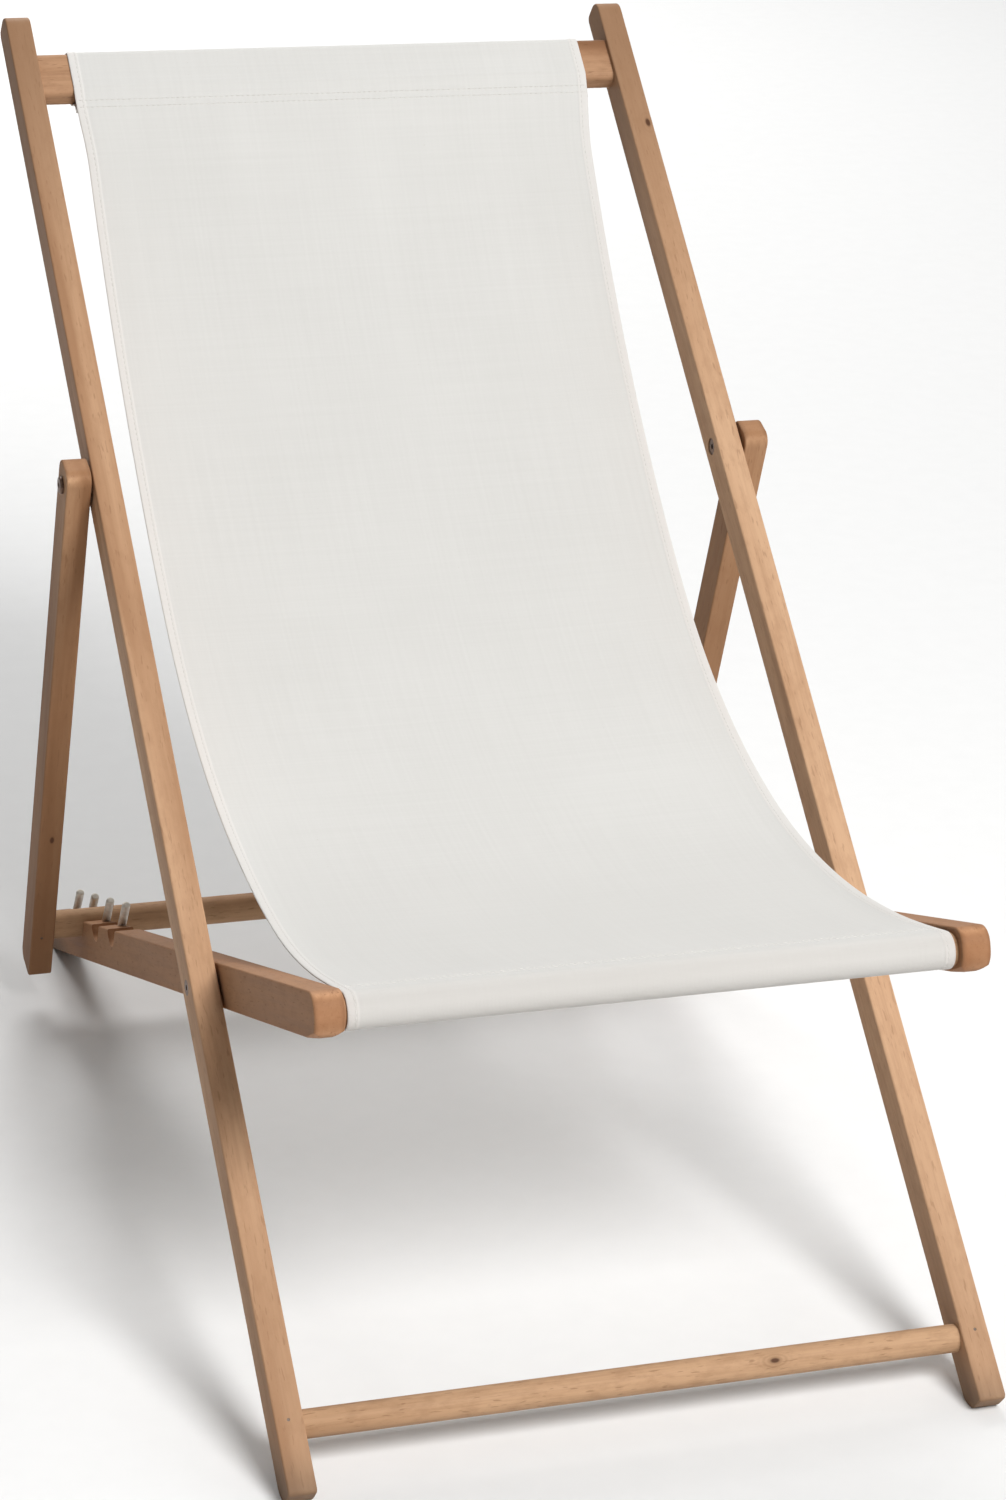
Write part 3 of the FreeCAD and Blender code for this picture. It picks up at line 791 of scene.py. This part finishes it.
slub_long = flat.mapped(stretch=(1, slub_draw, 1)).noise(scale=420.0, detail=2.0, rough=0.5)
slub_wide = flat.mapped(stretch=(slub_draw, 1, 1)).noise(scale=420.0, detail=2.0, rough=0.5)
cloud = flat.noise(scale=7.0, detail=3.0, rough=0.5)
speck = flat.noise(scale=560.0, detail=1.0, rough=0.4).step(0.76, 0.81)
print("threads to the centimetre", round(0.01 / thread, 1))

# %% Colour the canvas
hem_line, hem_blur = half_width - hem_width, 0.0003
uneven = slub_long.sway(0.16) + slub_wide.sway(0.16) + cloud.sway(0.22)
colour = (uneven + 0.5).step(0.35, 0.65).mix(canvas_dull, canvas_pale)
hem_mask = u.size().step(hem_line - hem_blur, hem_line + hem_blur)
colour = (hem_mask * hem_share).mix(colour, hem_tone)
# Painted shade over the seat part of the strip.
seat_shade = v.step(0.62 * cloth_length, 0.80 * cloth_length, 0.0, seat_shade_share)
colour = seat_shade.mix(colour, seat_shade_tone)
handled = v.step(hang_end - 0.006, hang_end + 0.012, 0.0, handled_share)
colour = handled.mix(colour, handled_tone)
# Painted shade in the gaps between the thread crowns.
colour = ((1.0 - crown) * weave_shade_share).mix(colour, weave_shade_tone)
colour = (speck * speck_share).mix(colour, speck_tone)
height = crown * 0.8 + slub_long * 0.25 + slub_wide * 0.25
canvas_finish.feed(Base_Color=colour, Roughness=cloud.step(0.3, 0.7, 0.84, 0.93),
                   Normal=height.bump(strength=0.3, depth=0.0003))
cloth_mesh.materials.append(canvas_finish.material)

# %% [markdown]
# ## Stitches
# The hems and both sleeve seams are lock-stitched with thick thread. Every stitch is the same short
# dash, so Geometry Nodes puts one small dash at even steps along guide lines that lie on the cloth. The
# guides are plain polylines. The tree resamples them, stands a dash on each point, turns it along the
# line, and makes everything real geometry again.

# %% Stitch thread
thread_dull, thread_pale = (0.55, 0.53, 0.50), (0.66, 0.64, 0.61)
thread_finish = Finish("stitch_thread", "Object", Specular_IOR_Level=0.3)
twist = thread_finish.place.noise(scale=1400.0, detail=2.0, rough=0.5)
thread_finish.feed(Base_Color=twist.step(0.3, 0.7).mix(thread_dull, thread_pale),
                   Roughness=twist.step(0.2, 0.8, 0.62, 0.8))

# %% Stitch tree
group = bpy.data.node_groups.new("stitch_rows", "GeometryNodeTree")
sockets = (("Guides", "INPUT", "Geometry"), ("Stitch spacing", "INPUT", "Float"),
           ("Stitch length", "INPUT", "Float"), ("Thread radius", "INPUT", "Float"),
           ("Thread", "INPUT", "Material"), ("Stitches", "OUTPUT", "Geometry"))
for name, way, kind in sockets:
    group.interface.new_socket(name, in_out=way, socket_type="NodeSocket" + kind)


def stitch_node(kind, links=None, values=None, **settings):
    """A node of the stitch tree: its settings, then its socket values, then its links from (node, output)."""
    made = group.nodes.new(kind)
    for key, value in settings.items():
        setattr(made, key, value)
    for key, value in (values or {}).items():
        made.inputs[key].default_value = value
    for key, (source, output) in (links or {}).items():
        group.links.new(source.outputs[output], made.inputs[key])
    return made


given = stitch_node("NodeGroupInput")
curves = stitch_node("GeometryNodeMeshToCurve", {"Mesh": (given, "Guides")})
even = stitch_node("GeometryNodeResampleCurve", {"Curve": (curves, 0), "Length": (given, "Stitch spacing")},
                   mode="LENGTH")
points = stitch_node("GeometryNodeCurveToPoints", {"Curve": (even, 0)}, mode="EVALUATED")
half = stitch_node("ShaderNodeMath", {0: (given, "Stitch length")}, {1: 0.5}, operation="MULTIPLY")
stretch = stitch_node("ShaderNodeCombineXYZ", {"X": (given, "Thread radius"), "Y": (given, "Thread radius"),
                                               "Z": (half, 0)})
bead = stitch_node("GeometryNodeMeshUVSphere", values={"Segments": 6, "Rings": 4, "Radius": 1.0})
dash = stitch_node("GeometryNodeTransform", {"Geometry": (bead, 0), "Scale": (stretch, 0)})
placed = stitch_node("GeometryNodeInstanceOnPoints", {"Points": (points, "Points"), "Instance": (dash, 0),
                                                      "Rotation": (points, "Rotation")})
real = stitch_node("GeometryNodeRealizeInstances", {"Geometry": (placed, 0)})
painted = stitch_node("GeometryNodeSetMaterial", {"Geometry": (real, 0), "Material": (given, "Thread")})
stitch_node("NodeGroupOutput", {"Stitches": (painted, 0)})
print("stitch tree has", len(group.nodes), "nodes")

# %% [markdown]
# The guides run along both hems on the outer face of the cloth, and in two rows across each seam. They
# lie on the surface, so that only the upper half of the thread shows.

# %% Guide lines on the cloth
seam_rows = (0.003, 0.009)
seam_reach, seam_marks = half_width - 0.004, 90
guide_points, guide_edges = [], []


def guide(places):
    """Add a polyline to the guides."""
    begin = len(guide_points)
    guide_points.extend(tuple(p) for p in places)
    guide_edges.extend((begin + i, begin + i + 1) for i in range(len(places) - 1))


def at_length(length):
    """The path at a given length, between its two nearest steps."""
    for before, after in zip(path, path[1:]):
        if before[3] <= length <= after[3]:
            share = (length - before[3]) / (after[3] - before[3])
            return tuple(p + (q - p) * share for p, q in zip(before, after))
    return path[-1]


def on_face(x, step):
    """A place on the outer face of the cloth."""
    place, normal = cloth_point(x, step)
    return place + normal * thickness(x)


for side in (-1, 1):
    guide([on_face(side * (half_width - hem_width + stitch_inset), step) for step in path])
seams = [hang_start + top_seam_depth + row for row in seam_rows]
seams += [hang_end - front_seam_depth - row for row in seam_rows]
for length in seams:
    step = at_length(length)
    guide([on_face(seam_reach * (2 * i / seam_marks - 1), step) for i in range(seam_marks + 1)])
print("guides", len(guide_edges), "edges")

# %% Sew
guide_mesh = bpy.data.meshes.new("stitch_guides")
guide_mesh.from_pydata(guide_points, guide_edges, [])
guides = put("stitch_guides", guide_mesh)
sewing = guides.modifiers.new("stitch_rows", "NODES")
sewing.node_group = group
stitch_sizes = {"Stitch spacing": 0.0046, "Stitch length": 0.0036, "Thread radius": 0.00036,
                "Thread": thread_finish.material}
for socket in group.interface.items_tree:
    if socket.in_out == "INPUT" and socket.name in stitch_sizes:
        sewing[socket.identifier] = stitch_sizes[socket.name]
evaluated = guides.evaluated_get(bpy.context.evaluated_depsgraph_get())
stitch_mesh = bpy.data.meshes.new_from_object(evaluated)
guides.modifiers.clear()
bpy.data.objects.remove(guides)
stitches = put("sling_stitches", stitch_mesh)
stitch_mesh.materials.clear()
stitch_mesh.materials.append(thread_finish.material)
stitch_mesh.shade_smooth()
print("stitches", len(stitch_mesh.polygons), "faces")

# %% [markdown]
# ## The cloth in place
# When the chair folds, the seat frame turns towards the back frame and the cloth folds double. Here the
# canvas and its stitches only get their places baked into their meshes, the frame's own sling is hidden, and
# the points of the side drawing where the fold would start and end are worked out.

# %% Bake the cloth in place
fold_start, fold_end = room(0, 0.162, -0.012), room(0, -0.027, 0.104)
for piece in (canvas, stitches):
    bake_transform(piece)
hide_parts("sling")
print("cloth cut", round(2 * half_width, 3), "by", round(cloth_length, 3))

# %% [markdown]
# ## Floor and light
# The setting is a plain pale studio: a wide floor, a large soft light in front a little to the right, and
# one that brightens the floor behind. The world around is brighter on the right than on the left, as if a
# dark screen stood there, which leaves the left faces of the rails in shade. The plain Standard view
# keeps the white of the canvas as it is.

# %% Lay the floor
floor_reach = 14.0
floor_dull, floor_pale = (0.78, 0.78, 0.775), (0.81, 0.81, 0.805)
floor_mesh = bpy.data.meshes.new("studio_floor")
floor_mesh.from_pydata([(-floor_reach, -floor_reach, 0), (floor_reach, -floor_reach, 0),
                        (floor_reach, floor_reach, 0), (-floor_reach, floor_reach, 0)], [], [(0, 1, 2, 3)])
floor = put("studio_floor", floor_mesh)
floor_finish = Finish("studio_floor", "Object", Specular_IOR_Level=0.1, Roughness=0.95)
floor_grain = floor_finish.place.noise(scale=40.0, detail=3.0, rough=0.5)
floor_finish.feed(Base_Color=floor_grain.mix(floor_dull, floor_pale))
floor_mesh.materials.append(floor_finish.material)

# %% Light the studio
left_glow, right_glow = 0.08, 0.36


def soft_light(name, place, target, size, power):
    """A round lamp that faces its target. A larger one throws softer shadows."""
    lamp_data = bpy.data.lights.new(name, "AREA")
    lamp_data.shape = "DISK"
    lamp_data.size = size
    lamp_data.energy = power
    lamp = put(name, lamp_data)
    lamp.location = place
    lamp.rotation_euler = (Vector(target) - Vector(place)).to_track_quat("-Z", "Y").to_euler()


soft_light("key_light", place=(1.0, -3.3, 3.6), target=(0, 0, 0.4), size=2.0, power=228)
soft_light("back_light", place=(0.0, 4.8, 4.4), target=(-0.2, 2.4, 0.0), size=4.0, power=270)
world = bpy.data.worlds.new("studio_air")
world.use_nodes = True
air = world.node_tree
direction = Value(air, air.nodes.new("ShaderNodeTexCoord").outputs["Generated"])
glow = direction.axes()[0].step(-0.9, 0.8, left_glow, right_glow)
air.nodes["Background"].inputs["Color"].default_value = (1, 1, 1, 1)
air.links.new(glow.socket, air.nodes["Background"].inputs["Strength"])
bpy.context.scene.world = world
bpy.context.scene.view_settings.view_transform = "Standard"
print("studio lit")

# %% [markdown]
